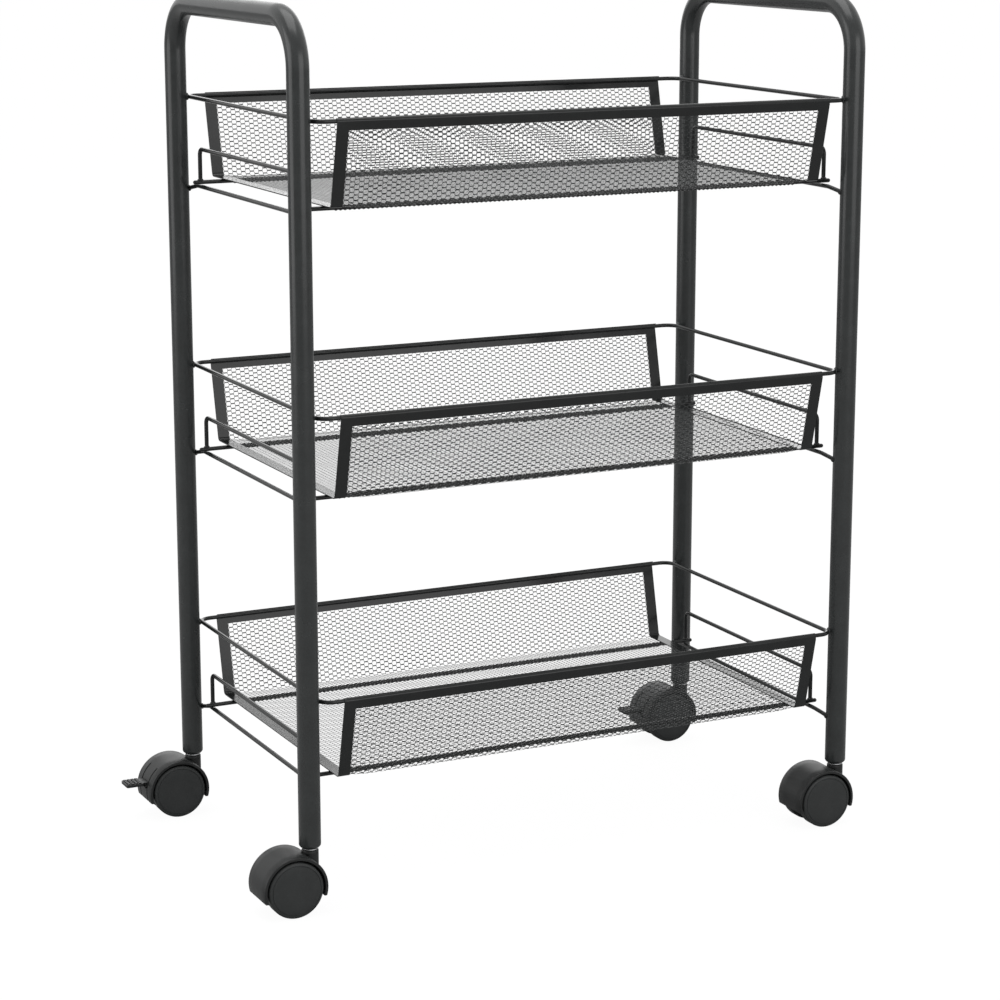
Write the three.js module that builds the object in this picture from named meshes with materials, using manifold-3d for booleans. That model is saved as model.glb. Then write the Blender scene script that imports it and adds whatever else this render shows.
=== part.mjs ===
// Rolling utility cart: two bent-tube side frames, three expanded-mesh baskets and four twin-wheel casters.
// Millimetres, +Z up. X runs along the cart, Y across it, and the wheels stand on Z = 0.
import * as THREE from "three";
import { mergeVertices } from "three/addons/utils/BufferGeometryUtils.js";
import Module from "manifold-3d";

// ---- Overall sizes ----
const frameLength = 460; // over the two side frames
const frameDepth = 260; // over the tubes of one side frame
const totalHeight = 640; // floor to the top of the handle bars
const clearance = 0.3; // gap between pieces that touch

// ---- Side frame tube ----
const tubeDiameter = 16;
const tubeWall = 1.2;
const bendRadius = 35; // of the tube's centre line
const tubeBottom = 46; // height of the tube's lower end
const swageLength = 2.6; // tapered lower end
const swageRadius = 6.1;
const bushLength = 22; // threaded bush inside the lower end

// ---- Wires ----
const wireRadius = 1.6;
const rimCornerRadius = 10;
const guardCornerRadius = 5;

// ---- Baskets ----
const handleRise = 78; // handle top down to the centre of the top basket's rim wire
const bottomRimHeight = 153; // centre of the bottom basket's rim wire
const tierNames = ["top", "middle", "bottom"];
const trayEndGap = 16; // from the trough's end to the guard wire
const trayDepth = 60.4; // rim wire centre to the underside of the floor
const wallSlant = (13.1 * Math.PI) / 180; // of the trough's two walls, from upright
const sheetThickness = 0.8;
const foldRadius = 3; // between a wall and the floor, to the middle of the sheet
const hemDepth = 6.5; // solid band below the rim wire's centre
const hemLip = 0.5; // the hem ends on top of the rim wire, this far inside the wire's centre
const ribbonWidth = 9; // solid band round each end of the trough
const meshTop = 4; // the mesh starts this far below the rim wire's centre
const openingLength = 46; // pitch of the mesh's diamonds along the cart, drawn larger than life
const openingHeight = 24.8; // their pitch the other way; every second row is shifted by half a pitch
const strandWidth = 3; // between two openings, square to the strand
const floorWireInset = 18; // from the floor's edge
const floorWireOverhang = 7; // past the support wire
const guardInset = 6; // from the floor wire's tip
const guardDrop = 37.3; // rim wire centre to the guard wire's bar
const supportDrop = 3; // the wire's welded ends sit this far below its run
const supportLeg = 15; // where its ends turn off, from the upright's centre
const supportBendRadius = 8;
const weldHeight = 3.1; // half the height of a weld on a tube
const weldSpread = 2.4; // half its width along the tube's surface
const weldRise = 2; // how far it stands off the tube's surface

// ---- Casters ----
const wheelRadius = 21.3;
const wheelSides = 16;
const casterWidth = 33.2; // over the two wheels
const wheelGap = 13.8; // between the two wheels
const casterTrail = 17; // stem to axle
const hoodRadius = 24.5;
const hoodWall = 2.2;
const hoodWidth = 32.4;
const hoodDrop = 7; // how far the hood reaches below the axle
const webThickness = 4;
const bossRadius = 6;
const axleRadius = 2.5;
const axleLength = 26.4;
const neckRadius = 6.2;
const stemRadius = 4;
const collarRadius = 5.6;
const collarHeight = 1.1;
const stemDepth = 20; // reach of the stem into the neck and into the bush
const treadThickness = 3;
const discThickness = 2.4;
const hubRadius = 5.2;

// ---- Brake lever of a back caster ----
const leverPivotBack = 10; // pivot behind the axle
const leverSwing = (10 * Math.PI) / 180; // how far the lever is pressed down
const leverWidth = 12; // of the arm, between the wheels
const leverTabWidth = 15;
const leverShoulder = 1.5; // the tab widens this far outside the hood
const leverTabLength = 16; // outside the hood
const leverTabThickness = 2.2;
const leverTabUp = 6; // axle height to the underside of the tab
const leverCornerRadius = 1.5;
const leverKnuckleRadius = 3.2;
const leverRibs = 4;
const leverRibPitch = 2.4;
const leverRibHeight = 0.7;

// ---- Worked out from the sizes above ----
const uprightX = frameLength / 2 - tubeDiameter / 2;
const uprightY = frameDepth / 2 - tubeDiameter / 2;
const tubeRadius = tubeDiameter / 2;
const axleHeight = wheelRadius * Math.cos(Math.PI / wheelSides);
const hemReach = wireRadius + clearance + sheetThickness; // rim wire's centre to the hem's outer face
const rimHalfDepth = frameDepth / 2 - hemReach;
const rimArcReach = tubeRadius + clearance + wireRadius + rimCornerRadius;
const rimArcOffset = uprightY - (rimHalfDepth - rimCornerRadius);
const rimArcX = uprightX - Math.sqrt(rimArcReach ** 2 - rimArcOffset ** 2);
const rimHalfLength = rimArcX + rimCornerRadius;
const topRimHeight = totalHeight - handleRise;
const tierSpacing = (topRimHeight - bottomRimHeight) / (tierNames.length - 1);
const rimHeights = tierNames.map((name, tier) => topRimHeight - tier * tierSpacing);
const floorEdgeY = rimHalfDepth + (hemReach - trayDepth * Math.sin(wallSlant)) / Math.cos(wallSlant);
const floorWireY = floorEdgeY - floorWireInset;
const supportX = uprightX - tubeRadius - 2 * clearance - wireRadius;
const floorWireHalf = supportX + floorWireOverhang;
const floorWireDrop = trayDepth + clearance + wireRadius;
const guardX = floorWireHalf - guardInset;
const trayLength = 2 * (guardX - trayEndGap);
const supportRunDrop = floorWireDrop + 2 * wireRadius + clearance;
const leverReach = casterTrail + hoodRadius + leverTabLength;
const middleX = (frameLength / 2 - uprightX - leverReach) / 2; // of the whole cart, from the frames' middle
const neckTop = tubeBottom - 2 * clearance - collarHeight;
const hoodBottom = axleHeight - hoodDrop;

const wasm = await Module();
wasm.setup();

// ---- Finishes ----
const powderCoat = new THREE.MeshStandardMaterial({ color: 0x36393a, roughness: 0.45, metalness: 0.3 });
const meshCoat = new THREE.MeshStandardMaterial({ color: 0x3a3c3c, roughness: 0.5, metalness: 0.3 });
const blackPlastic = new THREE.MeshStandardMaterial({ color: 0x232525, roughness: 0.5, metalness: 0 });
const brightSteel = new THREE.MeshStandardMaterial({ color: 0xb8bbbd, roughness: 0.3, metalness: 1 });

// ---- Solids ----
function solidOf(geometry) {
  const bare = geometry.clone();
  bare.deleteAttribute("normal");
  bare.deleteAttribute("uv");
  const merged = mergeVertices(bare, 1e-4);
  return new wasm.Manifold(
    new wasm.Mesh({
      numProp: 3,
      vertProperties: new Float32Array(merged.attributes.position.array),
      triVerts: new Uint32Array(merged.index.array),
    }),
  );
}

function geometryOf(solid) {
  const mesh = solid.getMesh();
  const geometry = new THREE.BufferGeometry();
  geometry.setAttribute("position", new THREE.BufferAttribute(mesh.vertProperties, 3));
  geometry.setIndex(new THREE.BufferAttribute(mesh.triVerts, 1));
  geometry.computeVertexNormals();
  return geometry;
}

function box(x0, x1, y0, y1, z0, z1) {
  const geometry = new THREE.BoxGeometry(x1 - x0, y1 - y0, z1 - z0);
  return solidOf(geometry.translate((x0 + x1) / 2, (y0 + y1) / 2, (z0 + z1) / 2));
}

// A cylinder along Z, from z0 to z1.
function rod(radius, x, y, z0, z1, sides) {
  const geometry = new THREE.CylinderGeometry(radius, radius, z1 - z0, sides);
  return solidOf(geometry.rotateX(Math.PI / 2).translate(x, y, (z0 + z1) / 2));
}

// A cylinder along Y, from -half to half.
function crossRod(radius, x, z, half, sides) {
  const geometry = new THREE.CylinderGeometry(radius, radius, 2 * half, sides);
  return solidOf(geometry.translate(x, 0, z));
}

// A shape drawn in X and Z, extruded along Y from -half to half.
function crossPlate(shape, half, curveSegments = 8) {
  const geometry = new THREE.ExtrudeGeometry(shape, { depth: 2 * half, bevelEnabled: false, curveSegments });
  return solidOf(geometry.rotateX(Math.PI / 2).translate(0, half, 0));
}

// ---- Paths ----
// Straight runs joined by round bends. It has points only at its ends and along the bends, so that a sweep
// spends no faces on the straight runs. radii is one radius for all bends, or a list with one for each.
class BentPath extends THREE.Curve {
  constructor(corners, radii, bendSteps) {
    super();
    this.stations = [];
    const last = corners.length - 1;
    this.addStation(corners[0], corners[1].clone().sub(corners[0]));
    for (let i = 1; i < last; i++) {
      const radius = Array.isArray(radii) ? radii[i - 1] : radii;
      this.addBend(corners[i - 1], corners[i], corners[i + 1], radius, bendSteps);
    }
    this.addStation(corners[last], corners[last].clone().sub(corners[last - 1]));
  }

  addStation(point, direction) {
    const previous = this.stations.at(-1);
    if (previous && previous.point.distanceTo(point) < 1e-3) return;
    this.stations.push({ point: point.clone(), tangent: direction.clone().normalize() });
  }

  addBend(before, corner, after, radius, bendSteps) {
    const into = corner.clone().sub(before).normalize();
    const out = after.clone().sub(corner).normalize();
    const turn = into.angleTo(out);
    const start = corner.clone().addScaledVector(into, -radius * Math.tan(turn / 2));
    const inward = out.clone().addScaledVector(into, -out.dot(into)).normalize();
    for (let i = 0; i <= bendSteps; i++) {
      const angle = (turn * i) / bendSteps;
      const point = start.clone().addScaledVector(into, radius * Math.sin(angle));
      point.addScaledVector(inward, radius * (1 - Math.cos(angle)));
      const tangent = into.clone().multiplyScalar(Math.cos(angle)).addScaledVector(inward, Math.sin(angle));
      this.addStation(point, tangent);
    }
  }

  get steps() {
    return this.stations.length - 1;
  }

  getPointAt(u) {
    return this.stations[Math.round(u * this.steps)].point.clone();
  }

  getTangentAt(u) {
    return this.stations[Math.round(u * this.steps)].tangent.clone();
  }
}

function corner(x, y, z) {
  return new THREE.Vector3(x, y, z);
}

function disc(radius) {
  return new THREE.Shape().absarc(0, 0, radius, 0, 2 * Math.PI, false);
}

// A round bar swept along an open path.
function bar(path, radius, sides) {
  const options = { steps: path.steps, bevelEnabled: false, extrudePath: path, curveSegments: sides / 2 };
  return solidOf(new THREE.ExtrudeGeometry(disc(radius), options));
}

// ---- Side frames ----
function uPath(z0) {
  const top = totalHeight - tubeRadius;
  const corners = [
    corner(0, -uprightY, z0),
    corner(0, -uprightY, top),
    corner(0, uprightY, top),
    corner(0, uprightY, z0),
  ];
  return new BentPath(corners, bendRadius, 5);
}

// The ring of material that the taper at the lower end of an upright takes away.
function swageCut(y) {
  const outer = tubeRadius + 1;
  const shoulder = tubeBottom + swageLength;
  const profile = [
    new THREE.Vector2(swageRadius, tubeBottom - 1),
    new THREE.Vector2(outer, tubeBottom - 1),
    new THREE.Vector2(outer, shoulder),
    new THREE.Vector2(tubeRadius, shoulder),
    new THREE.Vector2(tubeRadius - 0.6, tubeBottom + swageLength / 3),
    new THREE.Vector2(swageRadius, tubeBottom),
    new THREE.Vector2(swageRadius, tubeBottom - 1),
  ];
  return solidOf(new THREE.LatheGeometry(profile, 16).rotateX(Math.PI / 2).translate(0, y, 0));
}

// A bead of weld: a flattened ball with its long way upright, turned about Z to face along the angle given.
function weldBead(x, y, z, angle, height = weldHeight) {
  const geometry = new THREE.SphereGeometry(1, 6, 3).rotateX(Math.PI / 2);
  geometry.scale(weldRise, weldSpread, height).rotateZ(angle).translate(x, y, z);
  return solidOf(geometry);
}

// The bead that joins a rim wire's corner to the upright beside it, with the wire's own room cut out of it.
function rimWeld(side, end, rimHeight) {
  const towardRim = new THREE.Vector2(end * (rimArcX - uprightX), -side * rimArcOffset).normalize();
  const x = towardRim.x * tubeRadius;
  const y = side * uprightY + towardRim.y * tubeRadius;
  const bead = weldBead(x, y, rimHeight, towardRim.angle(), weldHeight + wireRadius);
  const room = rimLoop(wireRadius + clearance, 8).translate(-end * uprightX, 0, rimHeight);
  return bead.subtract(room);
}

function sideFrame(end) {
  let solid = bar(uPath(tubeBottom), tubeRadius, 16);
  const bore = bar(uPath(tubeBottom + tubeWall), tubeRadius - tubeWall, 8);
  for (const side of [-1, 1]) {
    for (const rimHeight of rimHeights) solid = solid.add(rimWeld(side, end, rimHeight));
  }
  solid = solid.subtract(bore);
  for (const side of [-1, 1]) {
    solid = solid.subtract(swageCut(side * uprightY));
    const mouthTop = tubeBottom + 2 * tubeWall;
    const mouth = rod(swageRadius - tubeWall, 0, side * uprightY, tubeBottom - 1, mouthTop, 8);
    solid = solid.subtract(mouth);
  }
  return solid.translate(end * uprightX, 0, 0);
}

// A wire under the ends of a basket's floor wires, turned down and out to the two uprights that hold it.
function supportWire(end, rimHeight) {
  const run = rimHeight - supportRunDrop;
  const endX = uprightX - tubeRadius + wireRadius;
  const endY = uprightY - wireRadius;
  const corners = [
    corner(end * endX, -endY, run - supportDrop),
    corner(end * supportX, supportLeg - uprightY, run),
    corner(end * supportX, uprightY - supportLeg, run),
    corner(end * endX, endY, run - supportDrop),
  ];
  let solid = bar(new BentPath(corners, supportBendRadius, 3), wireRadius, 6);
  const beadX = end * (uprightX - tubeRadius);
  for (const side of [-1, 1]) solid = solid.add(weldBead(beadX, side * (endY - 1), run - supportDrop, 0));
  for (const side of [-1, 1]) {
    const room = rod(tubeRadius + clearance, end * uprightX, side * uprightY, run - 20, run + 20, 24);
    solid = solid.subtract(room);
  }
  return solid;
}

// ---- Baskets, drawn with the rim wire's centre at Z = 0 ----
function rimHalf(sign, radius, sides) {
  const corners = [
    corner(0, -sign * rimHalfDepth, 0),
    corner(sign * rimHalfLength, -sign * rimHalfDepth, 0),
    corner(sign * rimHalfLength, sign * rimHalfDepth, 0),
    corner(0, sign * rimHalfDepth, 0),
  ];
  return bar(new BentPath(corners, rimCornerRadius, 4), radius, sides);
}

function rimLoop(radius, sides) {
  return rimHalf(1, radius, sides).add(rimHalf(-1, radius, sides));
}

// A point in the plane across the cart, measured from the rim wire on one side of it: out is square to the
// wall and down is along it.
function wallPoint(side, out, down) {
  const y = rimHalfDepth + out * Math.cos(wallSlant) - down * Math.sin(wallSlant);
  return corner(0, side * y, -out * Math.sin(wallSlant) - down * Math.cos(wallSlant));
}

// The corner between a wall and the floor, for a sheet whose middle is this deep below the outer faces.
function foldCorner(side, depth) {
  const out = hemReach - depth;
  const down = (trayDepth - depth - out * Math.sin(wallSlant)) / Math.cos(wallSlant);
  return wallPoint(side, out, down);
}

// The outline of a bent sheet, from the path of its middle.
function sheetSection(path) {
  const left = [];
  const right = [];
  for (const { point, tangent } of path.stations) {
    const across = new THREE.Vector2(-tangent.z, tangent.y).multiplyScalar(sheetThickness / 2);
    const middle = new THREE.Vector2(point.y, point.z);
    left.push(middle.clone().add(across));
    right.unshift(middle.clone().sub(across));
  }
  return new THREE.Shape([...left, ...right]);
}

// A section drawn in Y and Z, extruded along X from x0 to x1.
function lengthwise(section, x0, x1) {
  const options = { depth: x1 - x0, bevelEnabled: false, curveSegments: 4 };
  const geometry = new THREE.ExtrudeGeometry(section, options);
  const alongX = new THREE.Vector3(1, 0, 0);
  const alongY = new THREE.Vector3(0, 1, 0);
  const alongZ = new THREE.Vector3(0, 0, 1);
  geometry.applyMatrix4(new THREE.Matrix4().makeBasis(alongY, alongZ, alongX));
  return solidOf(geometry.translate(x0, 0, 0));
}

// The solid sheet that edges the mesh: a hem over the rim wire along each side, and a strip round each end.
function edgeBinding() {
  const middle = sheetThickness / 2;
  const roll = hemReach - middle;
  const corners = [
    wallPoint(-1, -hemLip, -roll),
    wallPoint(-1, roll, -roll),
    foldCorner(-1, middle),
    foldCorner(1, middle),
    wallPoint(1, roll, -roll),
    wallPoint(1, -hemLip, -roll),
  ];
  const path = new BentPath(corners, [roll, foldRadius, foldRadius, roll], 4);
  const sheet = lengthwise(sheetSection(path), -trayLength / 2, trayLength / 2);
  const windowEnd = trayLength / 2 - ribbonWidth;
  return sheet.subtract(box(-windowEnd, windowEnd, -frameDepth, frameDepth, -2 * trayDepth, -hemDepth));
}

// Cutters for the diamonds of one flat panel of mesh, in X and Z: in the panel's own plane, length runs along
// the cart and height across the panel, with the panel's middle at the origin.
function diamondCutters(length, height) {
  const slope = Math.atan2(openingHeight, openingLength);
  const halfLength = openingLength / 2 - strandWidth / 2 / Math.sin(slope);
  const halfHeight = openingHeight / 2 - strandWidth / 2 / Math.cos(slope);
  const diamond = new THREE.Shape();
  diamond.moveTo(halfLength, 0);
  diamond.lineTo(0, halfHeight);
  diamond.lineTo(-halfLength, 0);
  diamond.lineTo(0, -halfHeight);
  diamond.closePath();
  const cutter = crossPlate(diamond, 2 * sheetThickness);
  const rows = Math.floor((height / 2 - halfHeight) / (openingHeight / 2));
  const cutters = [];
  for (let row = -rows; row <= rows; row++) {
    const shift = (Math.abs(row) % 2) / 2;
    const columns = Math.floor((length / 2 - halfLength) / openingLength - shift);
    for (let column = -columns - 2 * shift; column <= columns; column++) {
      cutters.push(cutter.translate((column + shift) * openingLength, 0, (row * openingHeight) / 2));
    }
  }
  return cutters;
}

// The trough of expanded mesh, inside its edging.
function meshTray() {
  const depth = sheetThickness + clearance + sheetThickness / 2;
  const out = hemReach - depth;
  const foldInside = foldRadius - sheetThickness - clearance;
  const corners = [
    wallPoint(-1, out, meshTop),
    foldCorner(-1, depth),
    foldCorner(1, depth),
    wallPoint(1, out, meshTop),
  ];
  const end = trayLength / 2 - clearance;
  const sheet = lengthwise(sheetSection(new BentPath(corners, foldInside, 4)), -end, end);
  const openLength = trayLength - 2 * ribbonWidth;
  const openings = [];
  for (const side of [-1, 1]) {
    const top = wallPoint(side, out, hemDepth);
    const foot = foldCorner(side, depth);
    const middle = top.clone().add(foot).divideScalar(2);
    for (const cutter of diamondCutters(openLength, top.distanceTo(foot) - 2 * foldInside)) {
      const tilt = (side * wallSlant * -180) / Math.PI;
      openings.push(cutter.rotate([tilt, 0, 0]).translate(0, middle.y, middle.z));
    }
  }
  const floorWidth = 2 * foldCorner(1, depth).y;
  for (const cutter of diamondCutters(openLength, floorWidth - 4 * foldInside)) {
    openings.push(cutter.rotate([90, 0, 0]).translate(0, 0, depth - trayDepth));
  }
  return sheet.subtract(wasm.Manifold.union(openings));
}

// A straight wire along the cart with rounded tips.
function floorWire() {
  const profile = [
    new THREE.Vector2(0, -floorWireHalf),
    new THREE.Vector2(wireRadius * 0.7, -floorWireHalf + wireRadius * 0.3),
    new THREE.Vector2(wireRadius, -floorWireHalf + wireRadius),
    new THREE.Vector2(wireRadius, floorWireHalf - wireRadius),
    new THREE.Vector2(wireRadius * 0.7, floorWireHalf - wireRadius * 0.3),
    new THREE.Vector2(0, floorWireHalf),
  ];
  return solidOf(new THREE.LatheGeometry(profile, 8).rotateZ(Math.PI / 2));
}

// The wire arch that closes the lower half of a basket's open end, welded to the two floor wires.
function guardWire(end) {
  const foot = -floorWireDrop + wireRadius + clearance;
  const corners = [
    corner(end * guardX, -floorWireY, foot),
    corner(end * guardX, -floorWireY, -guardDrop),
    corner(end * guardX, floorWireY, -guardDrop),
    corner(end * guardX, floorWireY, foot),
  ];
  let solid = bar(new BentPath(corners, guardCornerRadius, 4), wireRadius, 6);
  for (const side of [-1, 1]) {
    const bead = weldBead(end * guardX, side * floorWireY, foot, 0, weldRise);
    const room = lengthwise(disc(wireRadius + clearance), -floorWireHalf, floorWireHalf);
    solid = solid.add(bead).subtract(room.translate(0, side * floorWireY, -floorWireDrop));
  }
  return solid;
}

// ---- Casters, drawn with the stem's axis at X = 0 and Y = 0 ----
// A ring's sector over the axle, down to the level of the hood's lower edge.
function hoodBand(shape, radius, innerRadius) {
  const outerEnd = Math.asin(hoodDrop / radius);
  const innerEnd = Math.asin(hoodDrop / innerRadius);
  shape.absarc(-casterTrail, axleHeight, radius, -outerEnd, Math.PI + outerEnd, false);
  shape.absarc(-casterTrail, axleHeight, innerRadius, Math.PI + innerEnd, -innerEnd, true);
  return shape;
}

function hood(hasLever) {
  const inside = hoodRadius - hoodWall;
  const band = crossPlate(hoodBand(new THREE.Shape(), hoodRadius, inside), hoodWidth / 2, 12);
  const webEnd = Math.asin(hoodDrop / (inside + hoodWall / 2));
  const web = new THREE.Shape();
  web.absarc(-casterTrail, axleHeight, inside + hoodWall / 2, -webEnd, Math.PI + webEnd, false);
  let solid = band.add(crossPlate(web, webThickness / 2, 10));
  solid = solid.add(crossRod(bossRadius, -casterTrail, axleHeight, wheelGap / 2 - clearance, 10));
  solid = solid.add(rod(neckRadius, 0, 0, hoodBottom, neckTop, 14));
  solid = solid.subtract(rod(stemRadius + clearance, 0, 0, neckTop - stemDepth, neckTop + 1, 10));
  solid = solid.subtract(crossRod(axleRadius + clearance, -casterTrail, axleHeight, casterWidth, 10));
  return hasLever ? solid.subtract(leverRoom()) : solid;
}

function stem() {
  const foot = neckTop - stemDepth + clearance;
  const top = tubeBottom + stemDepth;
  const collar = neckTop + clearance;
  const profile = [
    new THREE.Vector2(0, foot),
    new THREE.Vector2(stemRadius - 1, foot),
    new THREE.Vector2(stemRadius, foot + 1),
    new THREE.Vector2(stemRadius, collar),
    new THREE.Vector2(collarRadius, collar),
    new THREE.Vector2(collarRadius, collar + collarHeight),
    new THREE.Vector2(stemRadius, collar + collarHeight),
    new THREE.Vector2(stemRadius, top - 1),
    new THREE.Vector2(stemRadius - 1, top),
    new THREE.Vector2(0, top),
  ];
  return solidOf(new THREE.LatheGeometry(profile, 10).rotateX(Math.PI / 2));
}

function bush() {
  const foot = tubeBottom + tubeWall + clearance;
  const outer = rod(tubeRadius - tubeWall - 2 * clearance, 0, 0, foot, foot + bushLength, 10);
  return outer.subtract(rod(stemRadius + clearance, 0, 0, foot - 1, foot + bushLength + 1, 10));
}

function axle() {
  return crossRod(axleRadius, -casterTrail, axleHeight, axleLength / 2, 10);
}

// A cup-shaped wheel with a plain outer disc and a hub inside, on the side given.
function wheel(side) {
  const inner = wheelGap / 2;
  const outer = casterWidth / 2;
  const edge = wheelRadius;
  const profile = [
    new THREE.Vector2(0, axleLength / 2 + clearance),
    new THREE.Vector2(axleRadius + clearance, axleLength / 2 + clearance),
    new THREE.Vector2(axleRadius + clearance, inner),
    new THREE.Vector2(hubRadius, inner),
    new THREE.Vector2(hubRadius, outer - discThickness),
    new THREE.Vector2(edge - treadThickness, outer - discThickness),
    new THREE.Vector2(edge - treadThickness, inner),
    new THREE.Vector2(edge - 0.8, inner),
    new THREE.Vector2(edge, inner + 0.8),
    new THREE.Vector2(edge, outer - 1.2),
    new THREE.Vector2(edge - 1.2, outer),
    new THREE.Vector2(0, outer),
  ];
  const geometry = new THREE.LatheGeometry(profile, wheelSides, Math.PI / wheelSides);
  if (side < 0) geometry.rotateX(Math.PI);
  return solidOf(geometry.translate(-casterTrail, 0, axleHeight));
}

// ---- Brake lever ----
const leverPivotX = -casterTrail - leverPivotBack;
const leverPivotZ = axleHeight + leverTabUp + leverTabThickness / 2;

// A round knuckle that snaps into the web, and a flat arm that goes out through the hood to a ribbed tab.
function lever() {
  const foot = axleHeight + leverTabUp;
  const half = leverWidth / 2;
  const outline = new THREE.Shape();
  outline.moveTo(leverPivotX, -half);
  outline.lineTo(leverPivotX, half);
  const tabHalf = leverTabWidth / 2;
  const shoulderX = -casterTrail - hoodRadius - leverShoulder;
  const tabX = shoulderX - (tabHalf - half);
  outline.lineTo(shoulderX, half);
  outline.lineTo(tabX, tabHalf);
  const cornerX = -leverReach + leverCornerRadius;
  const cornerY = tabHalf - leverCornerRadius;
  outline.absarc(cornerX, cornerY, leverCornerRadius, Math.PI / 2, Math.PI);
  outline.absarc(cornerX, -cornerY, leverCornerRadius, Math.PI, 1.5 * Math.PI);
  outline.lineTo(tabX, -tabHalf);
  outline.lineTo(shoulderX, -half);
  const options = { depth: leverTabThickness, bevelEnabled: false, curveSegments: 4 };
  const arm = new THREE.ExtrudeGeometry(outline, options);
  let solid = solidOf(arm.translate(0, 0, foot));
  solid = solid.add(crossRod(leverKnuckleRadius, leverPivotX, leverPivotZ, half, 12));
  for (let rib = 0; rib < leverRibs; rib++) {
    const x = leverRibPitch * (rib + 1) - leverReach;
    const top = foot + leverTabThickness + leverRibHeight;
    solid = solid.add(box(x, x + leverRibPitch / 2, 1 - tabHalf, tabHalf - 1, foot, top));
  }
  return solid;
}

// The room that the lever needs in the hood and its web as it is pressed down.
function leverRoom() {
  const half = leverWidth / 2 + clearance;
  const foot = axleHeight + leverTabUp;
  const drop = (hoodRadius - leverPivotBack) * Math.tan(leverSwing) + clearance;
  const slot = box(-leverReach, leverPivotX, -half, half, foot - drop, foot + leverTabThickness + clearance);
  return slot.add(crossRod(leverKnuckleRadius + clearance, leverPivotX, leverPivotZ, half, 12));
}

// ---- The cart ----
const cart = new THREE.Group();
cart.position.x = -middleX;

function add(name, solid, material, x = 0, y = 0, z = 0) {
  const mesh = new THREE.Mesh(geometryOf(solid), material.clone());
  mesh.name = name;
  mesh.position.set(x, y, z);
  cart.add(mesh);
}

const ends = [
  ["left", -1],
  ["right", 1],
];
const sides = [
  ["front", -1],
  ["back", 1],
];

for (const [endName, end] of ends) add(`side_frame_${endName}`, sideFrame(end), powderCoat);

const rim = rimLoop(wireRadius, 8);
const binding = edgeBinding();
const tray = meshTray();
const straightWire = floorWire();
tierNames.forEach((tierName, tier) => {
  const height = rimHeights[tier];
  add(`rim_wire_${tierName}`, rim, powderCoat, 0, 0, height);
  add(`edge_binding_${tierName}`, binding, powderCoat, 0, 0, height);
  add(`mesh_tray_${tierName}`, tray, meshCoat, 0, 0, height);
  for (const [sideName, side] of sides) {
    const y = side * floorWireY;
    add(`floor_wire_${tierName}_${sideName}`, straightWire, powderCoat, 0, y, height - floorWireDrop);
  }
  for (const [endName, end] of ends) {
    add(`guard_wire_${tierName}_${endName}`, guardWire(end), powderCoat, 0, 0, height);
    add(`support_wire_${tierName}_${endName}`, supportWire(end, height), powderCoat);
  }
});

for (const [sideName, side] of sides) {
  for (const [endName, end] of ends) {
    const place = `${sideName}_${endName}`;
    const braked = side > 0;
    const at = [end * uprightX, side * uprightY, 0];
    add(`socket_bush_${place}`, bush(), blackPlastic, ...at);
    add(`caster_stem_${place}`, stem(), brightSteel, ...at);
    add(`caster_hood_${place}`, hood(braked), blackPlastic, ...at);
    add(`caster_axle_${place}`, axle(), brightSteel, ...at);
    add(`wheel_${place}_a`, wheel(-1), blackPlastic, ...at);
    add(`wheel_${place}_b`, wheel(1), blackPlastic, ...at);
    if (braked) add(`brake_lever_${place}`, lever(), blackPlastic, ...at);
  }
}

export default cart;
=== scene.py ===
"""The looks of a rolling utility cart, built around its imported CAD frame. Shapes are drawn in millimetres."""

import math

import bmesh
import bpy
import numpy as np
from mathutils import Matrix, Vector, noise


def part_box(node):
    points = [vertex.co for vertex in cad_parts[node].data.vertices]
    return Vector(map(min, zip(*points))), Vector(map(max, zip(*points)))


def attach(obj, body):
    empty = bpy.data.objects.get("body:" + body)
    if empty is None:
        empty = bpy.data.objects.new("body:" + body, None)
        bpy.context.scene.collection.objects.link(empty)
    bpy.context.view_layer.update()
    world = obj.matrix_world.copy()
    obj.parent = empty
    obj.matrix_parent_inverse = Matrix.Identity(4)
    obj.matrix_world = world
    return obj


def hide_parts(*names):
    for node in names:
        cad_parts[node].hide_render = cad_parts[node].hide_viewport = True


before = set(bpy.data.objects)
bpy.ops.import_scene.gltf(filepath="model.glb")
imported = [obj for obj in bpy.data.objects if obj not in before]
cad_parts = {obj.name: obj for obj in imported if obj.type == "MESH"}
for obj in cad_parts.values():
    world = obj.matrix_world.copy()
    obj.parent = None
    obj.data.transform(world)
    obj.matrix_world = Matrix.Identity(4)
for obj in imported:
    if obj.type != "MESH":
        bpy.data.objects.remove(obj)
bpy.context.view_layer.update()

MM = 0.001
TIERS = ("top", "middle", "bottom")
ENDS = {"left": -1, "right": 1}
SIDES = {"front": -1, "back": 1}


def cad_box_of(node):
    """Lowest and highest corner of a CAD node, in millimetres."""
    low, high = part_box(node)
    return np.array(low) / MM, np.array(high) / MM


def middle_of(node):
    low, high = cad_box_of(node)
    return (low + high) / 2


# ---- Sizes read from the frame; baskets are measured from their rim wire ----
TUBE_R = 8.0
frame_low, frame_high = cad_box_of("side_frame_right")
middle_x = (middle_of("side_frame_right")[0] + middle_of("side_frame_left")[0]) / 2
upright_x = frame_high[0] - TUBE_R - middle_x  # the welds reach past the tube on its inner side
upright_y = frame_high[1] - TUBE_R
tube_bottom = frame_low[2]
tube_top = frame_high[2] - TUBE_R
rim_z = {tier: middle_of(f"rim_wire_{tier}")[2] for tier in TIERS}
rim_low, rim_high = cad_box_of("rim_wire_top")
WIRE_R = (rim_high[2] - rim_low[2]) / 2
rim_half_x = (rim_high[0] - rim_low[0]) / 2 - WIRE_R
rim_half_y = rim_high[1] - WIRE_R
tray_low, tray_high = cad_box_of("edge_binding_top")
tray_half = (tray_high[0] - tray_low[0]) / 2
tray_floor = tray_low[2] - rim_z["top"]
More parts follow.
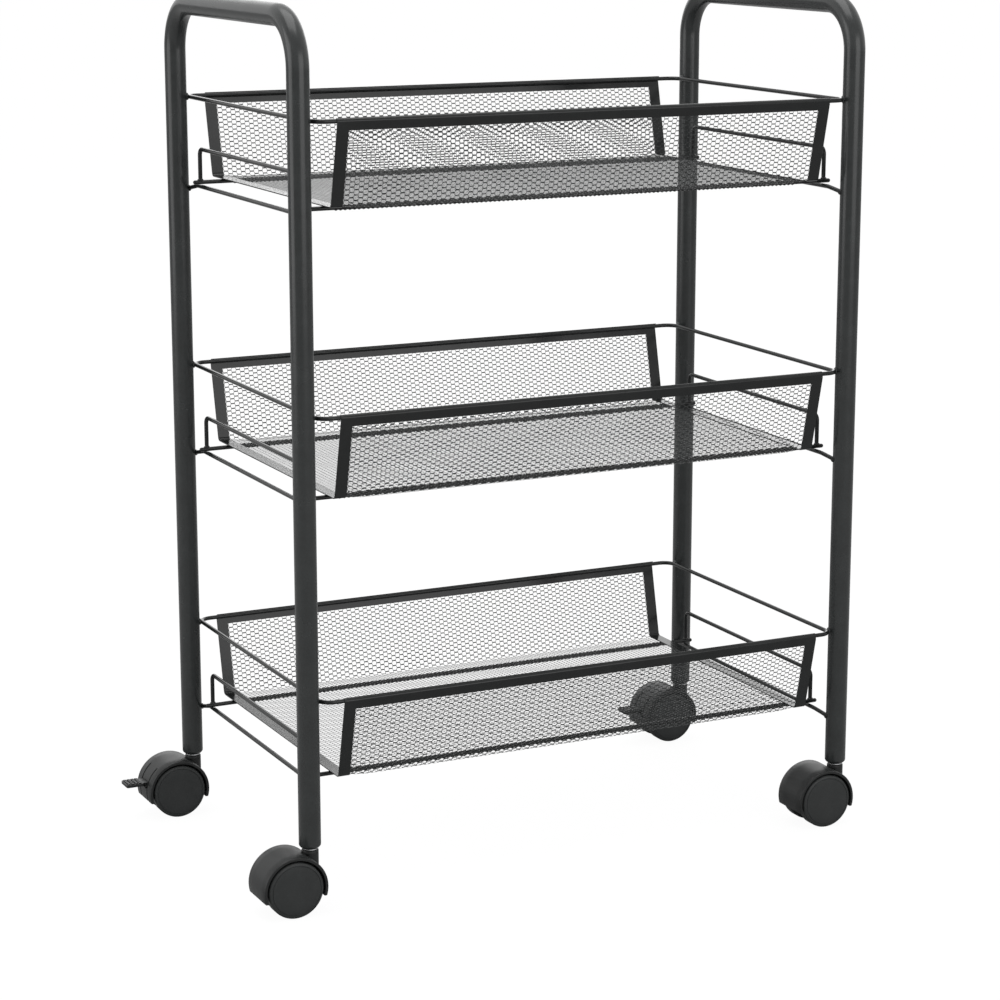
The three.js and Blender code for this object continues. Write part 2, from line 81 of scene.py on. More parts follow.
floor_wire_low, floor_wire_high = cad_box_of("floor_wire_top_back")
floor_wire_half = (floor_wire_high[0] - floor_wire_low[0]) / 2
_, floor_wire_y, floor_wire_z = middle_of("floor_wire_top_back") - (0, 0, rim_z["top"])
guard_high = cad_box_of("guard_wire_top_right")[1]
guard_x = guard_high[0] - WIRE_R - middle_x
guard_z = guard_high[2] - WIRE_R - rim_z["top"]
support_z = cad_box_of("support_wire_top_right")[1][2] - WIRE_R - rim_z["top"]
axle_z = middle_of("caster_axle_front_left")[2]
caster_trail = middle_of("caster_stem_front_left")[0] - middle_of("caster_axle_front_left")[0]
neck_top = cad_box_of("caster_hood_front_left")[1][2]
stem_foot, stem_top = (corner[2] for corner in cad_box_of("caster_stem_front_left"))
bush_foot, bush_top = (corner[2] for corner in cad_box_of("socket_bush_front_left"))
axle_low, axle_high = cad_box_of("caster_axle_front_left")
axle_half = (axle_high[1] - axle_low[1]) / 2

# ---- Sizes of the finer forms ----
CLEAR = 0.3

# Side frames; a profile lists heights over the tube's lower end, with the radius at each
TUBE_WALL = 1.2
TUBE_SIDES = 44
BEND_R = 35
BEND_STEPS = 28
SWAGE = 2.6
OUTSIDE_PROFILE = [(0, 5.75), (0.12, 6.0), (0.5, 6.35), (1.1, 7.05), (1.8, 7.65), (2.3, 7.9)]
OUTSIDE_PROFILE += [(SWAGE + 0.3, TUBE_R)]
INSIDE_PROFILE = [(0.0, 5.2), (0.25, 4.95), (1.0, 4.9), (1.6, 5.6), (2.6, TUBE_R - TUBE_WALL)]

# Welds: half sizes of their lumps, and the seed of the first one on each end of the cart
RIM_WELD = (1.5, 2.4, 2.8)
GUARD_WELD = (2.3, 1.9, 1.3)
SUPPORT_WELD = (1.2, 2.2, 2.2)
RIM_WELD_SEEDS = {-1: 12, 1: 4}
GUARD_WELD_LIFT = 0.1
GUARD_WELD_SEED = 31
SUPPORT_WELD_SEED = 47
WELD_SKIN = 0.16  # how uneven a weld is
WELD_LUMPS = 1.7  # how fine its lumps are
WELD_ROWS, WELD_SIDES = 12, 18
WELD_CAP = 0.04  # the share of half a turn that its flat caps take at each pole

# Wires
WIRE_SIDES = 18
FLOOR_WIRE_SIDES = 14
TIP_ANGLES = (25, 45, 65, 90)
RIM_CORNER_R = 10
GUARD_CORNER_R = 5
SUPPORT_DROP = 3
SUPPORT_LEG = 15
SUPPORT_BEND_R = 8
SUPPORT_SINK = 0.6  # the share of a wire's radius by which the middle of its ends is inside the tube

# Edging of the baskets
SHEET = 0.8
SLANT = math.radians(13.1)
HEM_REACH = WIRE_R + CLEAR + SHEET
HEM_DEPTH = 6.5
HEM_LIP = 0.4
HEM_TAPER = 2.5
HEM_STEP = 0.5
HEM_SLIM = 0.62  # the edging is this much thinner over the wire and at its four upper corners
HEM_HUG = 0.22  # and it comes this much nearer to the wire
RIBBON = 9
FOLD_R = 3
FOLD_STEPS = 8

# Expanded mesh: a bond is the joint that four strands share
MESH_TOP = 4.6
MESH_LONG = 7.0
MESH_ROW = 1.86
MESH_EDGE = 1.5
MESH_THICK = 0.2
BOND_HALF = 1.4
BOND_WIDE = 0.42
BOND_SLOPE = 0.35
STRAND = 0.19
MERGE_GRID = 1e4  # corners that agree to this part of a millimetre become one
FOLD_SAG = 1.1  # the mesh hangs this far below its folds, away from the ribbons
FOLD_REACH = 15
COAT_BRIDGE = 0.6  # the coat fills in round a wire where the mesh's bonds rest on it
BRIDGE_STEPS = 10
BRIDGE_SHARPNESS = 4

# Casters
HOOD_R = 24.5
HOOD_WALL = 2.2
HOOD_WIDTH = 32.4
HOOD_DROP = 7
HOOD_STEPS = 72
HOOD_EDGE = 0.7
HOOD_EDGE_DROP = 0.45
HOOD_WEB = 4
PANEL_TOP = math.radians(48)
GROOVE_DEPTH = 1.4
GROOVE_EDGES = (0.3, 0.7, 1.5, 1.9)  # from the slot's side
GROOVE_MIDDLE = 1.1
GROOVE_HALF = 0.45
NOTCH_FOOT = 3.0
KNUCKLE_ROOM = 3.6
KNUCKLE_ROOM_TOP = 10.8
BOSS_PROFILE = [(2.8, -6.6), (5.6, -6.6), (6, -6.2), (6, 6.2), (5.6, 6.6), (2.8, 6.6)]
NECK_R = 6.2
NECK_FLAT = 3.3
NECK_COLLAR = 3.4
NECK_FLOOR = 2.6
STEM_R = 4
STEM_COLLAR_R = 5.6
STEM_COLLAR = 1.1
STEM_COLLAR_SHOWS = 0.5  # the neck ends this far lower, and the stem's bright collar shows there
BUSH_RINGS = 5
BUSH_RING_PITCH = 4
BUSH_GROOVE = 0.35
AXLE_R = 2.5
WHEEL_INNER, WHEEL_OUTER = 6.9, 16.6
WHEEL_BORE_R = 2.8
WHEEL_BORE_END = 13.5
WHEEL_HUB_R = 5.2
WHEEL_TREAD = 3
WHEEL_DISC = 2.4
WHEEL_ROUND = 1.7

# Brake lever of a back caster
LEVER_PIVOT_BACK = 10
LEVER_WIDTH = 12
LEVER_TAB_WIDTH = 15
LEVER_SHOULDER = 1.5
LEVER_CORNER_R = 1.5
LEVER_TAB = 16
LEVER_THICK = 2.2
LEVER_UP = 6
LEVER_SWING = math.radians(10)
LEVER_KNUCKLE_R = 3.2
PADS = 4  # a square of raised pads on the tab
PAD_INSET = 1.2
PAD_LENGTH, PAD_WIDTH = 2.15, 2.5
PAD_PITCH_X, PAD_PITCH_Y = 3.0, 3.4
PAD_FOOT, PAD_TOP = 0.3, 0.7

# Finish
SMOOTH_BELOW = 38  # degrees between faces
NOISE_LOW, NOISE_HIGH = 0.3, 0.7  # where nearly all of a noise lies
MOTTLE_SCALE, SHEEN_SCALE, PEEL_SCALE = 90, 45, 260
GRAIN_DEPTH, PEEL_DEPTH = 0.06, 0.3
FLECK_DARK, FLECK_LIGHT = 0.86, 1.12

# Studio
ROOM_DARK = 0.62
ROOM_BRIGHT_WAY = (0.43, 0.88, 0.20)
ROOM_FROM, ROOM_TO = -0.6, 0.8
FLOOR_HALF = 30
PAPER_GREY = 0.4
PAPER_GLOW = 1.13
PAPER_SHARE = 0.84  # of the glow, in what the camera sees of the floor
AIM = (0, 0, 0.35)
CAMERA_SPOT = (-0.90365, -1.8700, 0.7244)
CAMERA_YAW, CAMERA_PITCH = math.radians(26.14), math.radians(12.7)
CAMERA_LENS = 99.80


# ---- Materials ----
def coat(name, dark, light, rough, grain, bump, peel=0.0, metallic=0.0, specular=0.5):
    """A procedural finish: mottled colour, uneven roughness, and a fine grain over a softer orange peel.

    dark and light bound the colour and rough the roughness; grain is a scale; bump and peel are strengths.
    """
    material = bpy.data.materials.new(name)
    material.use_nodes = True
    nodes, links = material.node_tree.nodes, material.node_tree.links
    shader = nodes["Principled BSDF"]
    shader.inputs["Metallic"].default_value = metallic
    shader.inputs["Specular IOR Level"].default_value = specular
    where = nodes.new("ShaderNodeTexCoord").outputs["Object"]

    def noise_at(scale, detail, roughness=0.5):
        node = nodes.new("ShaderNodeTexNoise")
        node.inputs["Scale"].default_value = scale
        node.inputs["Detail"].default_value = detail
        node.inputs["Roughness"].default_value = roughness
        links.new(where, node.inputs["Vector"])
        return node.outputs["Fac"]

    def ranged(source, low, high):
        node = nodes.new("ShaderNodeMapRange")
        node.inputs["From Min"].default_value = NOISE_LOW
        node.inputs["From Max"].default_value = NOISE_HIGH
        node.inputs["To Min"].default_value = low
        node.inputs["To Max"].default_value = high
        links.new(source, node.inputs["Value"])
        return node.outputs["Result"]

    mottle = nodes.new("ShaderNodeMix")
    mottle.data_type = "RGBA"
    mottle.inputs["A"].default_value = (*dark, 1)
    mottle.inputs["B"].default_value = (*light, 1)
    links.new(ranged(noise_at(MOTTLE_SCALE, 6, 0.65), 0, 1), mottle.inputs["Factor"])
    speck = nodes.new("ShaderNodeMix")
    speck.data_type = "RGBA"
    speck.blend_type = "MULTIPLY"
    speck.inputs["Factor"].default_value = 1
    links.new(mottle.outputs["Result"], speck.inputs["A"])
    fleck = nodes.new("ShaderNodeCombineColor")
    shade = ranged(noise_at(grain, 2), FLECK_DARK, FLECK_LIGHT)
    for channel in ("Red", "Green", "Blue"):
        links.new(shade, fleck.inputs[channel])
    links.new(fleck.outputs["Color"], speck.inputs["B"])
    links.new(speck.outputs["Result"], shader.inputs["Base Color"])
    links.new(ranged(noise_at(SHEEN_SCALE, 4), *rough), shader.inputs["Roughness"])

    fine = nodes.new("ShaderNodeBump")
    fine.inputs["Strength"].default_value = bump
    fine.inputs["Distance"].default_value = GRAIN_DEPTH * MM
    links.new(noise_at(grain, 3), fine.inputs["Height"])
    soft = nodes.new("ShaderNodeBump")
    soft.inputs["Strength"].default_value = peel
    soft.inputs["Distance"].default_value = PEEL_DEPTH * MM
    links.new(noise_at(PEEL_SCALE, 2), soft.inputs["Height"])
    links.new(fine.outputs["Normal"], soft.inputs["Normal"])
    links.new(soft.outputs["Normal"], shader.inputs["Normal"])
    return material


POWDER = coat(
    "powder_coat", (0.022, 0.024, 0.024), (0.029, 0.032, 0.032), (0.20, 0.29),
    grain=1500, bump=0.16, peel=0.08,
)
# The wires and the edging share the frame's powder coat; this darker copy of it is painted shade on them.
SHADED_WIRE_COAT = coat(
    "wire_coat_painted_shade", (0.009, 0.010, 0.010), (0.013, 0.014, 0.014), (0.12, 0.20),
    grain=1500, bump=0.12, peel=0.05, specular=0.35,
)
MESH_COAT = coat(
    "mesh_coat", (0.020, 0.022, 0.022), (0.028, 0.031, 0.031), (0.17, 0.28), grain=2600, bump=0.12
)
PLASTIC = coat(
    "black_plastic", (0.014, 0.015, 0.015), (0.019, 0.020, 0.020), (0.34, 0.46),
    grain=2200, bump=0.3, peel=0.06, specular=0.3,
)
NYLON = coat(
    "wheel_nylon", (0.026, 0.028, 0.028), (0.033, 0.035, 0.035), (0.38, 0.50),
    grain=2200, bump=0.25, peel=0.05, specular=0.3,
)
STEEL = coat(
    "bright_steel", (0.72, 0.73, 0.74), (0.84, 0.85, 0.86), (0.22, 0.34), grain=1800, bump=0.2, metallic=1.0
)


# ---- Mesh helpers ----
class Shape:
    """Closed solids collected for one mesh."""

    def __init__(self):
        self.verts = []
        self.faces = []

    def add(self, verts, faces):
        base = len(self.verts)
        self.verts.extend(tuple(map(float, v)) for v in verts)
        self.faces.extend(tuple(base + i for i in face) for face in faces)
        return self

    def join(self, other):
        return self.add(other.verts, other.faces)

    def mesh(self, name, material, sharp=SMOOTH_BELOW):
        mesh = bpy.data.meshes.new(name)
        mesh.from_pydata([tuple(c * MM for c in v) for v in self.verts], [], self.faces)
        clean(mesh)
        mesh.set_sharp_from_angle(angle=math.radians(sharp))
        mesh.materials.append(material)
        return mesh


def clean(mesh):
    """Drops loose vertices, turns every face outwards and shades it smooth."""
    bm = bmesh.new()
    bm.from_mesh(mesh)
    bmesh.ops.delete(bm, geom=[v for v in bm.verts if not v.link_faces], context="VERTS")
    bmesh.ops.recalc_face_normals(bm, faces=bm.faces)
    for face in bm.faces:
        face.smooth = True
    bm.to_mesh(mesh)
    bm.free()


def place(name, mesh, body, nodes, at=(0, 0, 0), bevel=0.0, segments=3):
    """One piece of the cart: it rides on a body and stands for CAD nodes, which it hides."""
    piece = bpy.data.objects.new(name, mesh)
    bpy.context.scene.collection.objects.link(piece)
    piece.location = Vector([float(c) * MM for c in at])
    if bevel:
        modifier = piece.modifiers.new("edges", "BEVEL")
        modifier.width = bevel * MM
        modifier.segments = segments
        modifier.limit_method = "ANGLE"
        modifier.angle_limit = math.radians(SMOOTH_BELOW)
        modifier.harden_normals = True
    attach(piece, body)
    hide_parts(*nodes)
    return piece


def unit(v):
    v = np.asarray(v, float)
    return v / np.linalg.norm(v)


def bent_path(corners, radii, steps, closed=False):
    """Stations (point, tangent) along straight runs joined by round bends."""
    corners = [np.asarray(c, float) for c in corners]
    count = len(corners)
    bends = range(count) if closed else range(1, count - 1)
    radii = radii if isinstance(radii, (list, tuple)) else [radii] * len(bends)
    stations = [] if closed else [(corners[0], unit(corners[1] - corners[0]))]
    for radius, i in zip(radii, bends):
        corner = corners[i]
        into = unit(corner - corners[i - 1])
        out = unit(corners[(i + 1) % count] - corner)
        turn = math.acos(max(-1.0, min(1.0, float(into @ out))))
        start = corner - into * radius * math.tan(turn / 2)
        inward = unit(out - into * (out @ into))
        for k in range(steps + 1):
            angle = turn * k / steps
            point = start + into * radius * math.sin(angle) + inward * radius * (1 - math.cos(angle))
            stations.append((point, into * math.cos(angle) + inward * math.sin(angle)))
    if not closed:
        stations.append((corners[-1], unit(corners[-1] - corners[-2])))
    return stations


def frames_along(stations):
    """A pair of axes across the path at each station, carried along without twist."""
    tangent = stations[0][1]
    beside = (0.31, 0.17, 0.93) if abs(tangent[2]) < 0.9 else (1, 0, 0)  # any way but the path's own
    across = unit(np.cross(tangent, beside))
    result = []
    for _, following in stations:
        axis = np.cross(tangent, following)
        size = np.linalg.norm(axis)
        if size > 1e-9:
            angle = math.atan2(size, float(tangent @ following))
            axis /= size
            across = (
                across * math.cos(angle)
                + np.cross(axis, across) * math.sin(angle)
                + axis * (axis @ across) * (1 - math.cos(angle))
            )
        tangent = following
        across = unit(across - tangent * (across @ tangent))
        result.append((across, np.cross(tangent, across)))
    return result


def ring(centre, axes, radius, sides):
    angles = np.arange(sides) * 2 * math.pi / sides
    return centre + radius * (np.outer(np.cos(angles), axes[0]) + np.outer(np.sin(angles), axes[1]))


def loft(rings, closed=False):
    """Joins rings of equal size into a tube, closed on itself or capped at both ends."""
    sides = len(rings[0])
    shape = Shape()
    count = len(rings)
    faces = []
    for a in range(count if closed else count - 1):
        b = (a + 1) % count
        for k in range(sides):
            n = (k + 1) % sides
            faces.append((a * sides + k, a * sides + n, b * sides + n, b * sides + k))
    if not closed:
        faces.append(tuple(range(sides)))
        faces.append(tuple((count - 1) * sides + k for k in reversed(range(sides))))
    return shape.add(np.concatenate(rings), faces)


# The rounding of a wire's tip: how far along the wire, and the radius there
WIRE_TIP = [(WIRE_R * (1 - math.cos(a)), WIRE_R * math.sin(a)) for a in np.radians(TIP_ANGLES)]


def wire(corners, bend_radius, steps=10):
    """A round wire along a bent path, with rounded tips."""
    stations = bent_path(corners, bend_radius, steps)
    first, last = stations[0], stations[-1]
    full = [(first[0] + first[1] * along, first[1]) for along, _ in WIRE_TIP]
    full += stations[1:-1]
    full += [(last[0] - last[1] * along, last[1]) for along, _ in reversed(WIRE_TIP)]
    tip_sizes = [r for _, r in WIRE_TIP]
    sizes = tip_sizes + [WIRE_R] * len(stations[1:-1]) + tip_sizes[::-1]
    axes = frames_along(full)
    return loft([ring(p, a, r, WIRE_SIDES) for (p, _), a, r in zip(full, axes, sizes)])


def lathe(profile, segments, axis="z", at=(0, 0, 0)):
    """A closed profile of (radius, height) turned about Z or Y; points on the axis become poles."""
    profile = [(float(r), float(h)) for r, h in profile]
    verts, index = [], []
    for r, h in profile:
        if r < 1e-6:
            index.append([len(verts)] * segments)
            verts.append((0.0, 0.0, h))
            continue
        index.append(list(range(len(verts), len(verts) + segments)))
        for k in range(segments):
            a = 2 * math.pi * k / segments
            verts.append((r * math.cos(a), r * math.sin(a), h))
    faces = []
    count = len(profile)
    for a in range(count):
        b = (a + 1) % count
        if profile[a][0] < 1e-6 and profile[b][0] < 1e-6:
            continue
        for k in range(segments):
            n = (k + 1) % segments
            face = [index[a][k], index[a][n], index[b][n], index[b][k]]
            kept = [v for i, v in enumerate(face) if v != face[i - 1]]
            if len(kept) > 2:
                faces.append(tuple(kept))
    verts = np.array(verts)
    if axis == "y":
        verts = verts[:, (0, 2, 1)] * (1, 1, -1)
    return Shape().add(verts + np.array(at, float), faces)


def prism(outline, low, high, axis="z"):
    """A flat outline pulled straight along Z or Y, with one cap at each end."""
    outline = np.array(outline, float)
    count = len(outline)
    if axis == "z":
        layers = [np.c_[outline, np.full(count, h)] for h in (low, high)]
    else:
        layers = [np.c_[outline[:, 0], np.full(count, h), outline[:, 1]] for h in (low, high)]
    faces = [tuple(range(count)), tuple(count + k for k in reversed(range(count)))]
    faces += [(k, (k + 1) % count, count + (k + 1) % count, count + k) for k in range(count)]
    return Shape().add(np.concatenate(layers), faces)


def thick_grid(outer, inner, keep):
    """A sheet with an outer and an inner face over a grid, with walls round its edges and windows."""
    rows, columns = outer.shape[:2]
    total = rows * columns

    def at(side, a, b):
        return side * total + a * columns + b

    def kept(a, b):
        return 0 <= a < rows - 1 and 0 <= b < columns - 1 and keep[a][b]

    faces = []
    for a in range(rows - 1):
        for b in range(columns - 1):
            if not keep[a][b]:
                continue
            around = [(a, b), (a + 1, b), (a + 1, b + 1), (a, b + 1)]
            faces.append(tuple(at(0, *c) for c in around))
            faces.append(tuple(at(1, *c) for c in reversed(around)))
            nexts = [(a, b - 1), (a + 1, b), (a, b + 1), (a - 1, b)]
            for k, beside in enumerate(nexts):
                if not kept(*beside):
                    p, q = around[k], around[(k + 1) % 4]
                    faces.append((at(0, *q), at(0, *p), at(1, *p), at(1, *q)))
    return Shape().add(np.concatenate([outer.reshape(-1, 3), inner.reshape(-1, 3)]), faces)


def bead(centre, angle, size, seed):
    """A lump of weld: a flattened ball with an uneven skin, turned about Z."""
    verts, faces = [], []
    c, s = math.cos(angle), math.sin(angle)
    for i in range(WELD_ROWS + 1):
        polar = math.pi * (WELD_CAP + (1 - 2 * WELD_CAP) * i / WELD_ROWS)
        for k in range(WELD_SIDES):
            around = 2 * math.pi * k / WELD_SIDES
            flat = math.sin(polar)
            d = np.array((flat * math.cos(around), flat * math.sin(around), math.cos(polar)))
            d *= 1 + WELD_SKIN * noise.noise(Vector(d * WELD_LUMPS) + Vector((seed * 3.1, seed, 0)))
            x, y, z = d * size
            verts.append((centre[0] + c * x - s * y, centre[1] + s * x + c * y, centre[2] + z))
    for i in range(WELD_ROWS):
        low, high = i * WELD_SIDES, (i + 1) * WELD_SIDES
        for k in range(WELD_SIDES):
            n = (k + 1) % WELD_SIDES
            faces.append((low + k, low + n, high + n, high + k))
    faces.append(tuple(range(WELD_SIDES)))
    faces.append(tuple(WELD_ROWS * WELD_SIDES + k for k in reversed(range(WELD_SIDES))))
    return Shape().add(verts, faces)


# ---- Side frames ----
def tube_skin(bends, profile, radius):
    """Rings along the whole tube: up from the front leg's end, over the bends, down to the back leg's."""
    front = [(np.array((0, -upright_y, tube_bottom + h)), np.array((0, 0, 1.0))) for h, _ in profile]
    back = [(np.array((0, upright_y, tube_bottom + h)), np.array((0, 0, -1.0))) for h, _ in profile]
    stations = front + bends + back[::-1]
    end_radii = [r for _, r in profile]
    radii = end_radii + [radius] * len(bends) + end_radii[::-1]
    axes = frames_along(stations)
    return [ring(point, a, r, TUBE_SIDES) for (point, _), a, r in zip(stations, axes, radii)]


def side_frame(end):
    """A hollow tube with drawn-in ends, and a weld where each corner of a rim wire meets it."""
    corners = [(0, -upright_y, tube_bottom), (0, -upright_y, tube_top)]
    corners += [(0, upright_y, tube_top), (0, upright_y, tube_bottom)]
    bends = bent_path(corners, BEND_R, BEND_STEPS)[1:-1]
    bore = tube_skin(bends[::2], INSIDE_PROFILE, TUBE_R - TUBE_WALL)
    shape = loft(tube_skin(bends, OUTSIDE_PROFILE, TUBE_R) + bore[::-1], closed=True)
    arc_reach = TUBE_R + CLEAR + WIRE_R + RIM_CORNER_R
    arc_offset = upright_y - (rim_half_y - RIM_CORNER_R)
    arc_x = upright_x - math.sqrt(arc_reach**2 - arc_offset**2)
    seed = RIM_WELD_SEEDS[end]
    for side in (-1, 1):
        toward = unit((end * (arc_x - upright_x), -side * arc_offset))
        for tier in TIERS:
            spot = (toward[0] * TUBE_R, side * upright_y + toward[1] * TUBE_R, rim_z[tier])
            shape.join(bead(spot, math.atan2(toward[1], toward[0]), RIM_WELD, seed))
            seed += 1
    return shape


for end_name, end in ENDS.items():
    mesh = side_frame(end).mesh(f"side_frame_{end_name}", POWDER, sharp=50)
    at = (middle_x + end * upright_x, 0, 0)
    place(f"tube_frame_{end_name}", mesh, "cart", [f"side_frame_{end_name}"], at)


# ---- Baskets ----
def wall_point(side, out, down):
    """A point in the section of a basket, so far outside a rim wire's middle and down along the wall."""
    y = rim_half_y + out * math.cos(SLANT) - down * math.sin(SLANT)
    return (0, side * y, -out * math.sin(SLANT) - down * math.cos(SLANT))


def fold_corner(side, depth):
    """Where a wall and the floor meet, so deep below the outer faces of the edging."""
    out = HEM_REACH - depth
    down = (-tray_floor - depth - out * math.sin(SLANT)) / math.cos(SLANT)
    return wall_point(side, out, down)


ROLL = HEM_REACH - SHEET / 2


def binding_path():
    """The middle of the solid edging: a hem over each rim wire, two walls, and a strip under the floor."""
    corners = [
        wall_point(-1, -HEM_LIP, -ROLL),
        wall_point(-1, ROLL, -ROLL),
        fold_corner(-1, SHEET / 2),
        fold_corner(1, SHEET / 2),
        wall_point(1, ROLL, -ROLL),
        wall_point(1, -HEM_LIP, -ROLL),
    ]
    return bent_path(corners, [ROLL, FOLD_R, FOLD_R, ROLL], FOLD_STEPS)


def with_hem_stations(stations):
    """Adds stations on each wall where the taper of the hem ends and where the window begins."""
    result = []
    for (p, t), (q, _) in zip(stations, stations[1:]):
        result.append((p, t))
        levels = (-HEM_TAPER, -HEM_DEPTH) if p[2] > q[2] else (-HEM_DEPTH, -HEM_TAPER)
        for level in levels:
            if (p[2] - level) * (q[2] - level) < 0:
                result.append((p + (q - p) * (level - p[2]) / (q[2] - p[2]), t))
    return result + [stations[-1]]


def binding():
    """The solid edging, thinner over the rim wires and at its upper corners, with a window in each wall."""
    stations = with_hem_stations(binding_path())
    window = tray_half - RIBBON
    columns = [-tray_half, -tray_half + HEM_STEP, -tray_half + HEM_TAPER, -window]
    columns += [-c for c in reversed(columns)]
    outer = np.zeros((len(stations), len(columns), 3))
    inner = outer.copy()
    for a, (p, t) in enumerate(stations):
        normal = np.array((0, -t[2], t[1]))
        over = max(0.0, min(1.0, 1 - (ROLL - p[2]) / ROLL))
        beside = 1.0 if p[2] > -WIRE_R else 0.0
        for b, x in enumerate(columns):
            end = max(0.0, 1 - (tray_half - abs(x)) / HEM_TAPER)
            slim = HEM_SLIM * max(over, end * beside)
            outer[a, b] = p - normal * (SHEET / 2 - slim) + (x, 0, 0)
            inner[a, b] = p + normal * (SHEET / 2 + HEM_HUG * over) + (x, 0, 0)
    keep = np.ones((len(stations) - 1, len(columns) - 1), bool)
    window_column = len(columns) // 2 - 1
    for a in range(len(stations) - 1):
        middle = (stations[a][0] + stations[a + 1][0]) / 2
        if middle[2] < -HEM_DEPTH:
            keep[a, window_column] = False
    return thick_grid(outer, inner, keep)


class Sheet:
    """The unrolled mesh: maps a length along the section and a height off it to Y and Z."""

    def __init__(self):
        corners = [wall_point(-1, ROLL, MESH_TOP), fold_corner(-1, SHEET / 2)]
        corners += [fold_corner(1, SHEET / 2), wall_point(1, ROLL, MESH_TOP)]
        stations = bent_path(corners, FOLD_R, FOLD_STEPS)
        points = np.array([p for p, _ in stations])
        normals = np.array([(-t[2], t[1]) for _, t in stations])
        self.lengths = np.r_[0, np.cumsum(np.linalg.norm(np.diff(points, axis=0), axis=1))]
        self.y, self.z = points[:, 1], points[:, 2]
        self.ny, self.nz = normals[:, 0], normals[:, 1]

    def at(self, along, off):
        """Y and Z, where off counts towards the inside of the basket."""
        return tuple(
            np.interp(along, self.lengths, p) + off * np.interp(along, self.lengths, n)
            for p, n in ((self.y, self.ny), (self.z, self.nz))
        )


def mesh_tile():
    """One bond with its four half strands: points (x, y, height), its faces, and the cuts it leaves open."""
    half = np.array((MESH_LONG / 4, MESH_ROW / 2))
    along = unit(half - (BOND_HALF, 0.0))
    across = np.array((-along[1], along[0])) * STRAND
    inner, outer = half - across, half + across
    shoulder_x = outer[0] - (outer[1] - BOND_WIDE) * along[0] / along[1]
    bend = (min(shoulder_x, BOND_HALF), BOND_WIDE)
    crotch_x = inner[0] - inner[1] * along[0] / along[1]
    points, index = [], {}

    def add(key, x, y, h):
        index[key] = len(points)
        points.append((x, y, h))

    for sx in (1, -1):
        add(("crotch", sx), sx * crotch_x, 0, 0)
        add(("ridge", sx), sx * (BOND_HALF - BOND_SLOPE), 0, MESH_THICK)
        for sy in (1, -1):
            add(("inner", sx, sy), sx * inner[0], sy * inner[1], 0)
            add(("outer", sx, sy), sx * outer[0], sy * outer[1], 0)
            add(("bend", sx, sy), sx * bend[0], sy * bend[1], 0)
            add(("cut", sx, sy), sx * half[0], sy * half[1], MESH_THICK)
    faces, cuts = [], {}
    for sx in (1, -1):
        for sy in (1, -1):
            c, r = index["crotch", sx], index["ridge", sx]
            i, o = index["inner", sx, sy], index["outer", sx, sy]
            b, m = index["bend", sx, sy], index["cut", sx, sy]
            faces += [[c, i, m], [c, m, r], [b, r, m], [b, m, o], [c, b, i], [b, o, i]]
            cuts[sx, sy] = [i, o, m]
    for sy in (1, -1):
        b1, b2 = index["bend", 1, sy], index["bend", -1, sy]
        r1, r2 = index["ridge", 1], index["ridge", -1]
        faces += [[b1, b2, r1], [b2, r2, r1]]
        c1, c2 = index["crotch", 1], index["crotch", -1]
        faces += [[b1, c1, b2], [b2, c1, c2]]
    return np.array(points), faces, cuts


def smooth(share):
    """Zero to one with a level start and end."""
    share = np.clip(share, 0, 1)
    return share**2 * (3 - 2 * share)


def sag_share(x, y, z):
    """How much of the sag a point of the mesh takes: all of it at a fold, none near the ribbons."""
    _, fold_y, fold_z = fold_corner(1, SHEET / 2)
    from_fold = np.hypot(np.abs(y) - fold_y, z - fold_z)
    return smooth(1 - from_fold / FOLD_REACH) * smooth((tray_half - RIBBON - np.abs(x)) / FOLD_REACH)


def mesh_pieces(count):
    """The expanded mesh of one basket as meshes that meet strand to strand across the floor."""
    sheet = Sheet()
    points, faces, cuts = mesh_tile()
    rows = int((sheet.lengths[-1] - MESH_EDGE) / MESH_ROW)
    first = (sheet.lengths[-1] - rows * MESH_ROW) / 2
    reach = tray_half - RIBBON + MESH_LONG / 2
    columns = int(reach / MESH_LONG) + 1
    made = []
    limits = [round(rows * k / count) for k in range(count + 1)]
    for low, high in zip(limits, limits[1:]):
        high = high if high < rows else rows + 1
        places = {}
        for row in range(low, high):
            for column in range(-columns, columns + 1):
                x = (column + (row % 2) / 2) * MESH_LONG
                if abs(x) <= reach:
                    places[2 * column + row % 2, row] = len(places)
        spots = np.array([(i * MESH_LONG / 2, first + row * MESH_ROW) for i, row in places])
        flat = spots[:, None, :] + points[None, :, :2]
        height = np.broadcast_to(points[:, 2] - MESH_THICK / 2, flat.shape[:2])
        all_faces = np.array(faces)[None] + np.arange(len(spots))[:, None, None] * len(points)
        caps = [
            [n * len(points) + v for v in corners]
            for (i, j), n in places.items()
            for (sx, sy), corners in cuts.items()
            if (i + sx, j + sy) not in places
        ]
        triangles = np.concatenate([all_faces.reshape(-1, 3), np.array(caps)])
        flat, height = flat.reshape(-1, 2), height.reshape(-1)
        keys = np.round(np.c_[flat, height] * MERGE_GRID).astype(np.int64)
        _, kept, inverse = np.unique(keys, axis=0, return_index=True, return_inverse=True)
        flat, height = flat[kept], height[kept]
        y, z = sheet.at(flat[:, 1], height)
        z = z - FOLD_SAG * sag_share(flat[:, 0], y, z)
        made.append((np.c_[flat[:, 0], y, z], inverse.reshape(-1)[triangles], flat))
    return made


